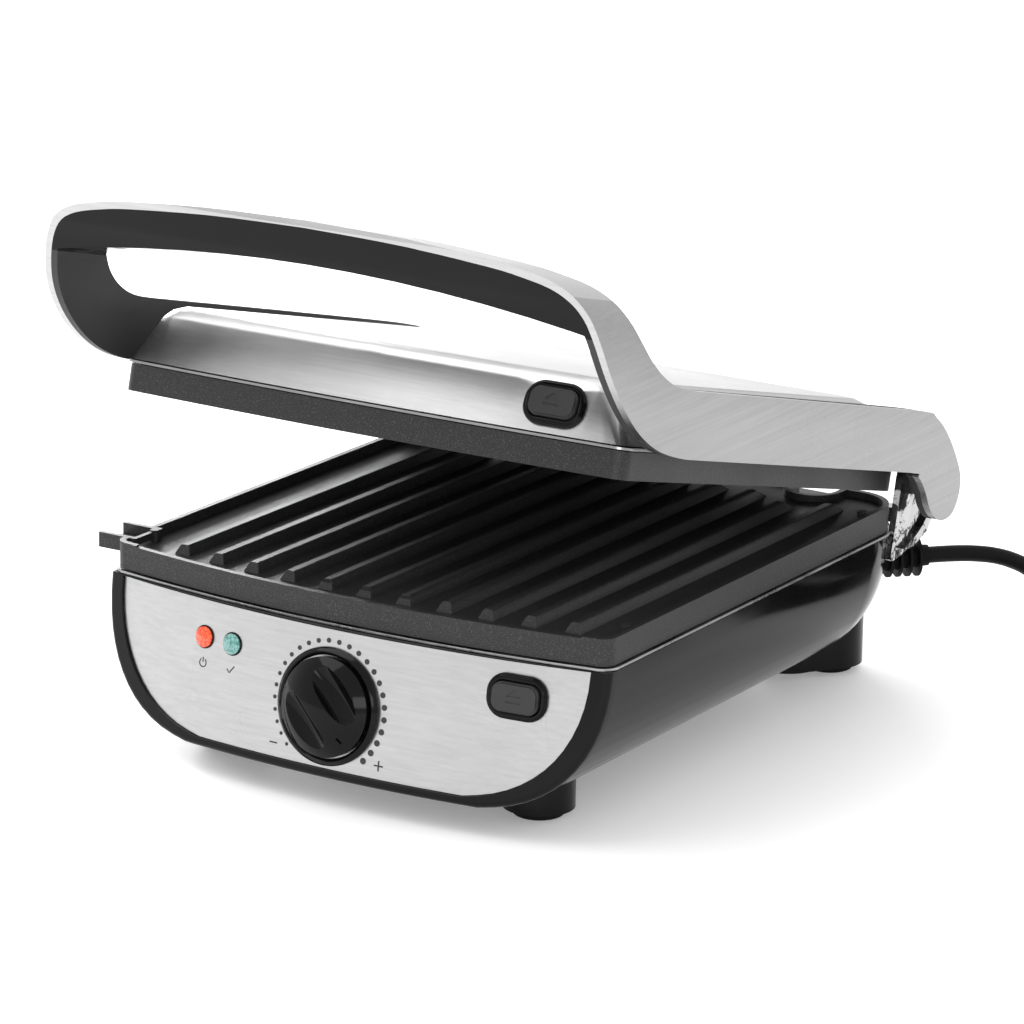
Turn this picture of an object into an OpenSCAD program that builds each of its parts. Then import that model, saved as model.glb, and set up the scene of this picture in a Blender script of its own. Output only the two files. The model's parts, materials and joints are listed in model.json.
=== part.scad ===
// Contact grill for toasted sandwiches: a base with a lower grill plate, a lid with an
// upper grill plate that floats between the two arms of a bowed bar handle.
// Plate frame used while drawing: x = 0 on the centre line, y = 0 at the plates' front
// corners, z = 0 under the lower plate. stand() then puts the feet on z = 0.

/* [Plates] */
// Width of each grill plate
plate_w = 240; // [230:1:246]
// Depth of each grill plate from its front corners to its back
plate_d = 249; // [244:1:250]
// Height of each plate's rim
plate_h = 11.3; // [10.8:0.1:11.6]
// Forward bow of the plates' front edge
plate_bow = 10; // [6:0.5:11]
// Number of grill ribs on a plate
rib_count = 11; // [7:1:11]
// Spacing of the ribs
rib_pitch = 18.87; // [16:0.01:19]
// Height of the ribs above the lower plate's floor
rib_h = 4; // [3:0.1:4]

/* [Base] */
// Height of the base housing below the plate
base_h = 62.8; // [60:0.2:66]
// Wall of the base housing
base_wall = 2.6; // [2:0.1:3]
// Backward lean of the steel front
front_lean = 8.35; // [6:0.05:9]
// Forward bow of the base's front
front_bow = 13.3; // [11:0.1:14]
// Height of a foot with its rubber pad
foot_h = 12.2; // [11:0.1:13]
// Diameter of the rubber foot pads
pad_d = 21.6; // [18:0.1:24]

/* [Controls] */
// Diameter of the heat knob
knob_d = 41; // [36:0.5:42]
// Diameter of the fixed ring round the knob
knob_ring_d = 48.5; // [47:0.5:50]
// Number of dots in the heat scale
dot_count = 26; // [10:1:26]
// Diameter of the pilot lamp lenses
lamp_d = 8.6; // [7:0.1:9]

/* [Lid] */
// Opening angle at which the lid is drawn
lid_angle = 14.1; // [0:0.1:81]
// Height of the lid's steel cover
cover_h = 24; // [22:0.5:26]
// Wall of the steel cover
cover_t = 1.2; // [1:0.1:1.6]

/* [Handle] */
// Gap between the inner faces of the two arms
arm_gap = 258; // [256:1:260]
// Thickness of the steel strap that forms the arms and the top of the bar
strap_t = 3; // [2:0.1:3.5]
// Thickness of the plastic behind the strap on each arm
lining_t = 3; // [2.5:0.1:4]
// Diameter of the hinge pins and the lid's float pins
pin_d = 8; // [6:0.5:9]

/* [Cord] */
// Diameter of the mains cord
cord_d = 7.3; // [6.5:0.1:7.5]

/* [Hidden] */

e = 0.01;
half = plate_w/2;
table = -(base_h + foot_h);         // height of the table in the plate frame
mid_y = 120.7;                       // middle of the grill from front to back
clear = 0.05;                       // radial clearance of the running fits
steel = [0.80, 0.80, 0.79];
gloss = [0.06, 0.06, 0.065];
cast = [0.16, 0.16, 0.165];
dull = [0.12, 0.12, 0.125];
tin = [0.68, 0.68, 0.67];

// ---- frames -----------------------------------------------------------------
hinge_y = 256;
hinge_z = 19;
float_y = 116;                      // the lid's float pins, just ahead of its balance
float_z = 38;

module stand() translate([0, -mid_y, -table]) children();
module lid_pose() stand() translate([0, hinge_y, hinge_z]) rotate([-lid_angle, 0, 0])
    translate([0, -hinge_y, -hinge_z]) children();
// outline drawn in x, z and carried along y; outline drawn in y, z and carried along x
module along_y(y0, y1) translate([0, y1, 0]) rotate([90, 0, 0]) linear_extrude(y1 - y0) children();
module along_x(x0, x1) translate([x0, 0, 0]) rotate([90, 0, 90]) linear_extrude(x1 - x0) children();
module box(a, b) translate(a) cube(b - a);
module both_sides() { children(); mirror([1, 0, 0]) children(); }
module rod_x(x0, x1, y, z, d) translate([x0, y, z]) rotate([0, 90, 0])
    cylinder(d = d, h = x1 - x0, $fn = 48);
module rod_z(x, y, z0, z1, d) translate([x, y, z0]) cylinder(d = d, h = z1 - z0, $fn = 48);

// Catmull-Rom curve through hand-chosen points, n steps for each span
function bend(p, n = 4) = [for (i = [0:len(p) - 2]) for (k = [0:n - 1])
    let (a = p[max(i - 1, 0)], b = p[i], c = p[i + 1], d = p[min(i + 2, len(p) - 1)], t = k/n)
    0.5*(2*b + (c - a)*t + (2*a - 5*b + 4*c - d)*t*t + (3*b - a - 3*c + d)*t*t*t)];

// ---- base shape ---------------------------------------------------------------
base_half = half + 1.5;
round_w = 60;                       // width of the rounded lower edge, and of the rear corners
corner_y = 218;                     // centre line of the rear corners
seam = 4;                           // depth of the front bezel moulding
rim_z = -1.7;                       // top of the base housing
fascia_half = half - 6.5;
fascia_top = -2.2;
fascia_low = -58.7;
front_y = -12.6;                    // middle of the steel front at z = 0
bow_r = (pow(half + 1, 2) + pow(front_bow, 2))/(2*front_bow);

// quarter of a superellipse from (half_w, top) down to (half_w - w, low), flat over its last step
function lower_edge(half_w, w, top, low, ex, n = 14) = [for (i = [0:n]) let (a = 90*i/n)
    [half_w - w + w*pow(max(cos(a), 0), 2/ex), i > n - 2 ? low : top + (low - top)*pow(sin(a), 2/ex)]];
function mirrored(p) = concat(p, [for (i = [len(p) - 1:-1:0]) [-p[i][0], p[i][1]]]);

// tilted cylinder that the bowed front follows; back moves it into the base
module front_cyl(back) translate([0, front_y + bow_r/cos(front_lean) + back, 0])
    rotate([-front_lean, 0, 0]) cylinder(r = bow_r, h = 420, center = true, $fn = 480);
// local frame on that front: x across, y up the face, z outward
module on_front(x, z) {
    psi = asin(x/bow_r);
    translate([0, front_y + bow_r/cos(front_lean), 0]) rotate([-front_lean, 0, 0])
        rotate([0, 0, psi]) translate([0, -bow_r, (z - bow_r*cos(psi)*sin(front_lean))/cos(front_lean)])
        rotate([90, 0, 0]) children();
}
// housing body shrunk by t; its rear corners are turned from the same edge curve
module base_body(t, top) {
    edge = lower_edge(base_half - t, round_w - t, 0, -base_h + t, 2.4);
    turned = [for (i = [0:len(edge) - 2]) [edge[i][0] - (base_half - round_w), edge[i][1]]];
    intersection() {
        union() {
            along_y(-60, corner_y) polygon(mirrored(edge));
            both_sides() translate([base_half - round_w, corner_y, 0])
                rotate_extrude(angle = 90, $fn = 128)
                    polygon(concat([[0, -base_h + t], [0, 0]], turned));
            along_x(-(base_half - round_w), base_half - round_w)
                polygon(concat([[corner_y, -base_h + t], [corner_y, 0]],
                    [for (p = turned) [p[0] + corner_y, p[1]]]));
        }
        box([-200, -80, -base_h - 5], [200, 320, top]);
    }
}
module base_shape(t, top, back) intersection() { base_body(t, top); front_cyl(back); }

// ---- plate shape ----------------------------------------------------------------
plate_r = 20;                       // rear corners
front_r = 6.5;                      // front corners
bow_half = half - front_r;
plate_bow_r = (pow(bow_half, 2) + pow(plate_bow, 2))/(2*plate_bow);
// plan outline of a plate, grown by g, between two heights
module plate_block(g, z0, z1) {
    w = half + g;
    rf = max(front_r + g, 2);
    rr = max(plate_r + g, 3);
    h = z1 - z0;
    translate([0, 0, z0]) {
        box([-w, rf - g, 0], [w, plate_d + g - rr, h]);
        box([-(w - rf), -g, 0], [w - rf, rf - g + e, h]);
        box([-(w - rr), plate_d + g - rr - e, 0], [w - rr, plate_d + g, h]);
        both_sides() {
            translate([w - rf, rf - g, 0]) cylinder(r = rf, h = h, $fn = 64);
            translate([w - rr, plate_d + g - rr, 0]) cylinder(r = rr, h = h, $fn = 96);
        }
        intersection() {
            translate([0, plate_bow_r - plate_bow - g, 0]) cylinder(r = plate_bow_r, h = h, $fn = 480);
            box([-(w - rf), -30, 0], [w - rf, rf - g + 8, h]);
        }
    }
}
// bulge of the rear wall round the clip recesses
recess_x = 79;
recess_r = 11;
module recess(g, z0, z1) both_sides() translate([recess_x, 0, z0]) {
    translate([0, plate_d - 7, 0]) cylinder(r = recess_r + g, h = z1 - z0, $fn = 64);
    box([-(recess_r + g), plate_d - 7, 0], [recess_r + g, plate_d + 20, z1 - z0]);
}
rib_x0 = -rib_pitch*(rib_count - 1)/2 + 3.7;
function rib_end(x) = abs(abs(x) - recess_x) < 15 ? plate_d - 31 : plate_d - 22;
// one rib standing on z = 0, with sloped flanks and ends
module rib(x, h) intersection() {
    translate([x, 0, 0]) along_y(-20, plate_d + 20)
        polygon([[-3.7, -1], [-3.7, 0], [-2.3, h - 0.7], [-1.5, h],
            [1.5, h], [2.3, h - 0.7], [3.7, 0], [3.7, -1]]);
    y0 = 14 - plate_bow*(1 - pow(x/bow_half, 2)) - 2.4;
    y1 = rib_end(x);
    along_x(-half, half)
        polygon([[y0, -1], [y0, 0], [y0 + 2.2, h + e], [y1 - 7, h + e], [y1, 0], [y1, -1]]);
}
floor_z = 8.2;                      // cooking floor of the lower plate
channel_z = 6.6;                    // floor of the drain channel and of the spout
rim_t = 2.6;
spout = [9.4, 24.2];                // y of the spout's inner walls
spout_x = -half - 13;
upper_z = 23.9;                     // top of the upper plate, lid closed

module plate_body(rib_top) {
    difference() {
        union() {
            difference() {
                plate_block(0, 0, plate_h);
                difference() {
                    plate_block(-rim_t, floor_z, plate_h + 1);
                    recess(rim_t, 0, plate_h + 2);
                }
            }
            for (i = [0:rib_count - 1])
                translate([0, 0, floor_z]) rib(rib_x0 + i*rib_pitch, rib_top - floor_z);
        }
        recess(0, -1, plate_h + 2);
        // underside hollow, with the pads that sit on the heating element left standing
        difference() {
            plate_block(-4, -1, floor_z - 3.4);
            recess(rim_t, -2, plate_h);
            both_sides() box([72, 24, -2], [94, 206, plate_h]);
            box([-94, 24, -2], [94, 46, plate_h]);
        }
        // lug pocket of the release catch behind the front skirt
        box([release_x - 8, -1.2, 0.8], [release_x + 7, 3, 3.6]);
    }
}
release_x = 84;

module grill_plate_lower() color(cast) stand() {
    difference() {
        union() {
            plate_body(floor_z + rib_h);
            box([spout_x, spout[0] - 2.2, channel_z - 1.8], [-half + 6, spout[1] + 2.2, plate_h]);
        }
        box([spout_x - 1, spout[0], channel_z], [-half + 4, spout[1], plate_h + 1]);
        box([-half + rim_t, 6, channel_z], [-half + 22, plate_d - 24, floor_z + e]);
        // the low front rim
        box([-half + 12, -20, plate_h - 0.6], [half - 12, 4, plate_h + 1]);
    }
    // nubs that locate the lid's plate
    both_sides() for (y = [22, plate_d - 30]) translate([half - 5.2, y, channel_z - e])
        cylinder(d = 4, h = floor_z - channel_z + 3.6, $fn = 32);
}
module grill_plate_upper() color(cast) lid_pose()
    translate([0, 0, upper_z]) mirror([0, 0, 1]) plate_body(plate_h);

// ---- base -------------------------------------------------------------------------
foot_x = 76;
front_foot = 22;
rear_foot = 262;
pad_h = 3.5;
module feet_at() both_sides() {
    translate([foot_x, front_foot, 0]) children();
    translate([foot_x + 4, rear_foot - 3, 0]) children();
}
module posts_at() both_sides() for (y = [40, 226]) translate([50, y, 0]) children();
module base_tub() color(gloss) stand() {
    difference() {
        union() {
            difference() {
                base_shape(0, rim_z, seam);
                difference() {
                    base_shape(base_wall, 5, seam + 0.8);
                    box([-200, plate_d + 3, -6], [200, 320, 10]);       // rear deck
                    // seats of the hinge brackets
                    both_sides() box([half - pan_in + 0.5, plate_d - 40, -18], [half + 10, 320, 10]);
                }
            }
            // foot bosses; the rear ones are drawn out forward
            both_sides() {
                rod_z(foot_x, front_foot, -base_h - foot_h + pad_h, -base_h + 6, 30);
                rod_z(foot_x + 4, rear_foot - 3, -base_h - foot_h + pad_h, -base_h + 22, 30);
                rod_z(foot_x - 8, rear_foot - 20, -base_h - foot_h + pad_h, -base_h + 8, 30);
                translate([foot_x - 2, rear_foot - 11.5, -base_h - foot_h + pad_h]) rotate([0, 0, 54.8])
                    translate([-10, -14.5, 0]) cube([20, 29, foot_h + 8]);
            }
            // posts that carry the pan
            posts_at() rod_z(0, 0, -base_h + 0.5, -pan_depth, 10);
            // wall behind the release spring
            box([release_x - 6, 10.8, -base_h + 6], [release_x + 5, 12.4, -19]);
        }
        front_holes(0.2);
        feet_at() translate([0, 0, table - 1]) cylinder(d = 4.2, h = pad_h + 8, $fn = 32);
        posts_at() {
            rod_z(0, 0, -base_h - 1, -base_h + 3, 7);
            rod_z(0, 0, -base_h, 0, 3.4);
        }
        // cooling slots underneath
        for (i = [-5:5]) box([i*9 - 2, 90, -base_h - 1], [i*9 + 2, 150, -base_h + 4]);
        // slots for the hinge brackets
        both_sides() box([half - 1.6, 229, -14.5], [half + 5, 290, 5]);
        // cord entry
        translate([0, mid_y, table]) relief_core(0.1);
    }
}
function fascia_outline(g) =
    mirrored(lower_edge(fascia_half + g, 57, fascia_top + g, fascia_low - g, 2.2));
// everything in front of the steel front's surface, shifted back
module ahead_of(back) difference() { box([-200, -120, -120], [200, 40, 20]); front_cyl(back); }
knob_z = -33.5;
lamp_x = [-65.3, -50.4];
lamp_z = -17.6;
button_z = -16.2;
// rounded rectangle with its length across
module pill(w, h, r, t) {
    box([-w/2 + r, -h/2, 0], [w/2 - r, h/2, t]);
    box([-w/2, -h/2 + r, 0], [w/2, h/2 - r, t]);
    for (x = [-1, 1], y = [-1, 1])
        translate([x*(w/2 - r), y*(h/2 - r), 0]) cylinder(r = r, h = t, $fn = 48);
}
module front_holes(d) {
    on_front(0, knob_z) translate([0, 0, -12]) cylinder(d = 12, h = 20, $fn = 48);
    for (x = lamp_x)
        on_front(x, lamp_z) translate([0, 0, -12]) cylinder(d = lamp_d + d, h = 20, $fn = 48);
    on_front(release_x, button_z) translate([0, 0, -12]) pill(22.4, 14.4, 6.2, 20);
}
module front_bezel() color(gloss) stand() difference() {
    base_shape(0, rim_z, -1.2);
    front_cyl(seam);
    intersection() { along_y(-80, 30) polygon(fascia_outline(0.1)); ahead_of(1); }
    front_holes(0.2);
}
module front_fascia() color(steel) stand() difference() {
    intersection() { along_y(-80, 30) polygon(fascia_outline(0)); front_cyl(0); ahead_of(1); }
    front_holes(0.2);
}
// printed heat scale: dots that grow from low to high
module dial_marks() color(gloss) stand() for (i = [0:dot_count - 1])
    let (a = 225.5 - 271*i/(dot_count - 1), r = knob_ring_d/2 + 2.3)
    on_front(r*cos(a), knob_z + r*sin(a)) cylinder(d = 1.4 + 1.1*i/(dot_count - 1), h = 0.12, $fn = 20);
module dial_ring() color(gloss) stand() difference() {
    on_front(0, knob_z) rotate_extrude($fn = 96) polygon([[knob_d/2 + 0.6, -1.4], [knob_ring_d/2, -1.4],
        [knob_ring_d/2, 0.8], [knob_ring_d/2 - 1.2, 2], [knob_d/2 + 1.8, 2.4], [knob_d/2 + 0.6, 1.6]]);
    front_cyl(-0.05);
}
// dome with a standing grip left between two scooped hollows, and a pointer cut
grip_turn = 44;
dome_top = 10.2;
dome_r = 34;
hollow_x = 10.4;                    // from the grip's middle line to a hollow's
hollow_r = 42;
hollow_w = 6.2;
module knob() color(gloss) stand() on_front(0, knob_z) difference() {
    intersection() {
        translate([0, 0, 0.5]) cylinder(d = knob_d, h = 15, $fn = 96);
        translate([0, 0, dome_top - dome_r]) sphere(r = dome_r, $fn = 128);
    }
    // long finger hollows on both sides of the grip, deepest in the middle
    rotate([0, 0, grip_turn]) for (s = [-1, 1])
        translate([s*hollow_x, 0, dome_top + hollow_r]) rotate([0, 90, 0])
            rotate_extrude($fn = 256) translate([hollow_r, 0]) circle(r = hollow_w, $fn = 48);
    rotate([0, 0, -48]) box([14.3, -0.5, 5.2], [17, 0.5, 20]);
    translate([0, 0, -1]) cylinder(d = 6, h = 8, $fn = 48);
}
module knob_shaft() color(tin) stand()
    on_front(0, knob_z) translate([0, 0, -14]) cylinder(d = 6, h = 20.9, $fn = 48);
module thermostat() color(dull) stand() on_front(0, knob_z) difference() {
    union() {
        box([-14, -11, -32], [14, 11, -14]);
        box([-20, -6, -14], [20, 6, -12.8]);
        both_sides() { box([17, -6, -14], [20, 6, -5.2]); box([-8, -12.2, -29], [-5, 12.2, -26]); }
    }
    translate([0, 0, -14.2]) cylinder(d = 6.1, h = 12, $fn = 48);
}
module lamp(x) on_front(x, lamp_z) {
    translate([0, 0, -8]) cylinder(d = lamp_d - 0.4, h = 8.4, $fn = 48);
    intersection() {
        translate([0, 0, 0.3]) cylinder(d = lamp_d, h = 4, $fn = 64);
        translate([0, 0, -8]) sphere(r = 10, $fn = 96);
    }
}
module lamp_power() color([0.9, 0.2, 0.08]) stand() lamp(lamp_x[0]);
module lamp_ready() color([0.35, 0.62, 0.58]) stand() lamp(lamp_x[1]);
module lamp_holders() color([0.75, 0.73, 0.68]) stand() for (x = lamp_x) on_front(x, lamp_z) {
    difference() {
        translate([0, 0, -15]) cylinder(d = 11.4, h = 9.8, $fn = 48);
        translate([0, 0, -8]) cylinder(d = lamp_d - 0.4, h = 4, $fn = 48);
    }
    for (s = [-1.5, 1.5]) translate([s - 0.4, -2, -16.4]) cube([0.8, 4, 2]);
}

// ---- release catches ------------------------------------------------------------
press = 3;                          // travel of a release button
module release_bezel() difference() {
    union() {
        pill(26, 18.4, 8, 1.3);
        translate([0, 0, 1.2]) pill(24.6, 17, 7.4, 0.9);
        translate([0, 0, -4.5]) pill(22.2, 14.2, 6, 5);
    }
    translate([0, 0, -6]) pill(20.4, 12.4, 4.4, 12);
}
module release_button() difference() {
    union() {
        translate([0, 0, -6]) pill(20, 12, 4.2, 9.4);
        translate([0, 0, 3.3]) pill(18.6, 10.6, 3.6, 1.2);
    }
    // eject arrow over a bar
    translate([0, 0.6, 4.2]) linear_extrude(1) polygon([[-3.2, 0], [3.2, 0], [0, 2.9]]);
    box([-3.2, -2, 4.2], [3.2, -1, 6]);
}
// tongue that reaches in behind the button and up to the plate's lug
module latch(up) {
    box([-5, -3, -9.5], [5, 3, -6]);
    box([-5, -8, -11], [5, up, -9.5]);
}
// coil spring behind the latch: separate turns joined by one straight wire
spring_y = -4;
module spring_wire() translate([0, spring_y, -11.5]) {
    for (i = [0:3])
        translate([0, 0, -2.2*i]) rotate_extrude($fn = 32) translate([3, 0]) circle(d = 0.9, $fn = 16);
    translate([3, 0, -6.6]) cylinder(d = 0.5, h = 6.6, $fn = 16);
}
module at_lower_button() stand() on_front(release_x, button_z) children();
module release_bezel_lower() color(gloss) at_lower_button() release_bezel();
module release_button_lower() color(dull) at_lower_button() release_button();
module latch_lower() color(tin) at_lower_button() latch(15.3);
module release_spring_lower() color(tin) at_lower_button() spring_wire();

// ---- pans and heating elements -----------------------------------------------------
pan_in = 13;                        // inset of the pan's tub from the plate's edge
pan_depth = 20;
module pan(depth) difference() {
    union() {
        plate_block(1.3, -1.5, -0.5);
        plate_block(-pan_in, -depth, -0.6);
    }
    plate_block(-pan_in - 1, -depth + 1, 1);
    // way through for the release catch
    box([release_x - 6, -2.1, -depth - 1], [release_x + 9, 12.5, 1]);
}
module pan_pads(z0, z1) both_sides() for (y = [6.5, plate_d - 9])
    translate([half - 22, y, z0]) cylinder(d = 8, h = z1 - z0, $fn = 32);
module pan_lower() color(tin) stand() {
    difference() {
        pan(pan_depth);
        posts_at() rod_z(0, 0, -pan_depth - 1, 0, 3.4);
        both_sides() rod_z(30, 190, -pan_depth - 5, -10, 9);
    }
    pan_pads(-0.6, -0.15);
    // brackets that hold the element
    for (x = [-83, 83]) box([x - 1, 108, -pan_depth + 0.8], [x + 1, 116, -7]);
    for (x = [-40, 40]) box([x - 4, 34, -pan_depth + 0.8], [x + 4, 36, -7]);
}
el_d = 6.5;
module bend_z(x, y, a, r, z) translate([x, y, z]) rotate([0, 0, a]) rotate_extrude(angle = 90, $fn = 96)
    translate([r, 0]) circle(d = el_d, $fn = 24);
module run_y(x, y0, y1, z) translate([x, y0, z]) rotate([-90, 0, 0])
    cylinder(d = el_d, h = y1 - y0, $fn = 24);
// looped tube heater with its cold ends turned down through the pan
module element(z) {
    both_sides() {
        run_y(83, 54, 190, z);
        bend_z(64, 54, 270, 19, z);
        bend_z(64, 190, 0, 19, z);
        rod_x(49, 64, 209, z, el_d);
        bend_z(49, 190, 90, 19, z);
        translate([30, 190, z]) {
            sphere(d = el_d, $fn = 32);
            translate([0, 0, -20]) cylinder(d = el_d, h = 20, $fn = 24);
        }
    }
    rod_x(-64, 64, 35, z, el_d);
}
module element_lower() color([0.25, 0.25, 0.26]) stand() element(-3.8);
module terminal_block() color([0.82, 0.8, 0.74]) stand() difference() {
    box([16, 200, -base_h + base_wall], [42, 216, -base_h + 18]);
    for (x = [21, 29, 37]) rod_z(x, 208, -base_h + 12, -30, 4.5);
}
module thermal_fuse() color([0.85, 0.84, 0.8]) stand() {
    rod_x(-12, 12, 120, -23, 5.6);
    rod_x(-22, 22, 120, -23, 1.2);
    both_sides() box([16, 117, -26], [19, 123, -20]);
}
// sleeved leads inside the base
module lead(x, y0, y1, z) translate([x, y0, z]) rotate([-90, 0, 0])
    cylinder(d = 3, h = y1 - y0, $fn = 24);
module base_leads() color([0.7, 0.68, 0.6]) stand() {
    for (x = [-6.5, 6.5]) {
        lead(x, 11, 190 - x, -51.4);
        translate([x, 190 - x, -51.4]) sphere(d = 3, $fn = 24);
        rod_x(x, 26 - x, 190 - x, -51.4, 3);
        translate([26 - x, 190 - x, -51.4]) sphere(d = 3, $fn = 24);
        lead(26 - x, 190 - x, 200, -51.4);
    }
}
module foot_pads() color(dull) stand() feet_at() translate([0, 0, table]) rotate_extrude($fn = 64)
    polygon([[2, 1.4], [pad_d/2 - 3, 0], [pad_d/2 - 0.8, 0], [pad_d/2, 0.8],
        [pad_d/2, pad_h], [2, pad_h]]);
module base_screws() color(tin) stand() {
    feet_at() translate([0, 0, table + 1.4]) cylinder(d = 4, h = 9, $fn = 24);
    posts_at() {
        rod_z(0, 0, -base_h + 1, -base_h + 3, 6);
        rod_z(0, 0, -base_h + 2, -pan_depth + 3, 3);
    }
}

// ---- hinge ---------------------------------------------------------------------------
// plated ear on the base's rear corner, its foot screwed to the deck
ear_x0 = half - 1.5;
ear_x1 = half + 1.5;
module hinge_bracket() {
    difference() {
        union() {
            along_x(ear_x0, ear_x1) polygon(bend([[234.6, -10.5], [238.4, 4], [241, 16], [243.5, 25],
                [249, 31], [256, 33], [263, 31], [268, 25], [269.5, 16], [269.5, 6], [268, -1],
                [263, -6.5], [255, -10], [245, -12.6], [237, -13.6], [234.6, -12.6]], 3));
            box([half - 22, 253, -1.7], [ear_x0 + 1, 270, 1.3]);
        }
        rod_x(ear_x0 - 5, ear_x1 + 5, hinge_y, hinge_z, pin_d);
    }
    translate([half - 12, 261.5, 1.2]) cylinder(d = 7, h = 2, $fn = 32);
    // rolled rear edge
    along_x(ear_x1 - 0.5, ear_x1 + 2.2)
        polygon(bend([[263, -6.5], [268, -1], [269.5, 6], [269.5, 14], [267, 8],
            [262.5, 0], [254, -5.5], [243, -9.5], [255, -10]], 3));
}
module hinge_bracket_right() color(steel) stand() hinge_bracket();
module hinge_bracket_left() color(steel) stand() mirror([1, 0, 0]) hinge_bracket();
arm_in = arm_gap/2;
arm_out = arm_in + lining_t + strap_t;
module hinge_pins() color(tin) stand() both_sides() {
    rod_x(ear_x0, arm_in + lining_t - 0.6, hinge_y, hinge_z, pin_d);
    rod_x(ear_x0 - 2, ear_x0, hinge_y, hinge_z, pin_d + 5);
}
module hinge_bushes() color(dull) stand() both_sides() difference() {
    rod_x(ear_x1, arm_in - 0.4, hinge_y, hinge_z, pin_d + 6);
    rod_x(ear_x1 - 1, arm_in + 1, hinge_y, hinge_z, pin_d);
}

// ---- handle ----------------------------------------------------------------------------
bar_top = 94.5;
bar_low = 77.3;
grip_z = 66.5;                      // the grip's ends stand on the arm linings here
// side view of an arm: rear edge from the bar down, lobe round the hinge, front edge back up
arm_side = concat(
    bend([[-34, 101], [-33, 88], [-28.5, 80.5], [-23, 73.5], [-17, 66.5], [-10, 60], [-1, 54.8],
        [10, 51.6], [24, 50.7], [40, 50.6], [140, 50.2], [226, 49.4], [240, 47], [252, 40.5], [263, 31.5],
        [270.5, 23], [272, 14.5], [268.5, 6.5], [261, 3], [252.5, 3.6], [245, 8], [238.5, 15], [230, 21],
        [220, 22.8], [120, 23.4], [40, 23.6], [18, 24], [0, 26.4], [-14, 31], [-26, 37.6], [-36, 45.6],
        [-44, 54.6], [-50, 64.5], [-55, 74], [-60, 82]], 4),
    [[-64, 92], [-62, 102]]);
// front view of the strap from the foot of the right arm over the corner to the middle of the bar
strap_side = bend([[arm_out, -10], [arm_out, 20], [arm_out, 38], [arm_out - 0.6, 48],
    [arm_out - 2, 57.6], [arm_out - 4.4, 67.5], [arm_out - 7.8, 75.5], [arm_out - 13.5, 81.8],
    [arm_out - 22.5, 86.2], [arm_out - 36, 89], [arm_out - 51, 90.9], [arm_out - 87, 93.4],
    [12, bar_top - 0.1]], 3);
// the strap's outline drawn in by t
function drawn_in(t) = mirrored(concat([for (i = [0:len(strap_side) - 1])
    let (a = strap_side[max(i - 1, 0)], b = strap_side[min(i + 1, len(strap_side) - 1)])
    let (d = (b - a)/norm(b - a))
    strap_side[i] + t*[-d[1], d[0]]], [[0, bar_top - t]]));
function bar_underside(x) = bar_low - 8.5*pow(x/116, 2);
// space between the arms, below the bar
module hand_hole() intersection() {
    polygon(drawn_in(strap_t + lining_t));
    polygon(mirrored(concat([[140, -20]], [for (x = [140:-20:0]) [x, bar_underside(x)]])));
}
module arm_shape() along_x(-arm_out, arm_out) polygon(arm_side);
module handle_strap() color(steel) lid_pose() intersection() {
    arm_shape();
    along_y(-100, 300) difference() { polygon(drawn_in(0)); polygon(drawn_in(strap_t)); }
}
module inner_layer() difference() {
    intersection() {
        arm_shape();
        along_y(-100, 300) difference() { polygon(drawn_in(strap_t)); hand_hole(); }
    }
    both_sides() {
        rod_x(arm_in - 1, arm_in + lining_t - 0.5, hinge_y, hinge_z, pin_d + 2*clear);
        rod_x(arm_in - 1, arm_in + lining_t - 0.5, float_y, float_z, pin_d + 2*clear);
    }
}
module arm_lining_right() color(dull) lid_pose() intersection() {
    inner_layer();
    box([100, -80, -10], [200, 300, grip_z]);
}
module arm_lining_left() color(dull) lid_pose() intersection() {
    inner_layer();
    box([-200, -80, -10], [-100, 300, grip_z]);
}
screw_x = [-96, -20, 20, 96];
module grip() color(gloss) lid_pose() difference() {
    intersection() { inner_layer(); box([-200, -80, grip_z], [200, 100, 120]); }
    for (x = screw_x) rod_z(x, -49, 40, bar_underside(x) + 3, 6.5);
}
module grip_screws() color(tin) lid_pose() for (x = screw_x) {
    rod_z(x, -49, bar_underside(x) + 1, bar_underside(x) + 3, 5.6);
}

// ---- lid --------------------------------------------------------------------------------
cover_z = 26;
cover_lean = 18;
// outline of the cover at one level, drawn in at the front, the sides and the back
module cover_slab(z, front, side, back, t) {
    w = half - 1 - side;
    y0 = 3 + front;
    y1 = plate_d + 3 - back;
    translate([0, 0, z]) {
        translate([0, y0, 0]) intersection() {
            translate([0, plate_bow_r - plate_bow - 4, 0]) cylinder(r = plate_bow_r, h = t, $fn = 480);
            box([-(w - 7), -30, 0], [w - 7, 10, t]);
        }
        both_sides() {
            translate([w - 5, y0 + 1.6, 0]) cylinder(r = 5, h = t, $fn = 48);
            translate([w - 16, y1 - 16, 0]) cylinder(r = 16, h = t, $fn = 48);
        }
    }
}
module cover_shape(t) hull() {
    cover_slab(cover_z - (t > 0 ? 1 : 0), t, t, t, e);
    cover_slab(cover_z + cover_h*0.78 - t*0.4, cover_h*0.78*tan(cover_lean) + t, 8.5 + t, 12 + t, e);
    cover_slab(cover_z + cover_h*0.92 - t*0.8, cover_h*0.92*tan(cover_lean) + 1.6 + t,
        11.2 + t, 15.5 + t, e);
    cover_slab(cover_z + cover_h - e - t, cover_h*tan(cover_lean) + 5 + t, 15 + t, 20 + t, e);
}
lid_button_x = 87;
lid_button_z = 37.4;
lid_button_y = -1.6;
module at_upper_button() lid_pose() translate([lid_button_x, lid_button_y, lid_button_z])
    rotate([0, 0, asin(lid_button_x/plate_bow_r)]) rotate([90 - cover_lean, 0, 0]) children();
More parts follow.
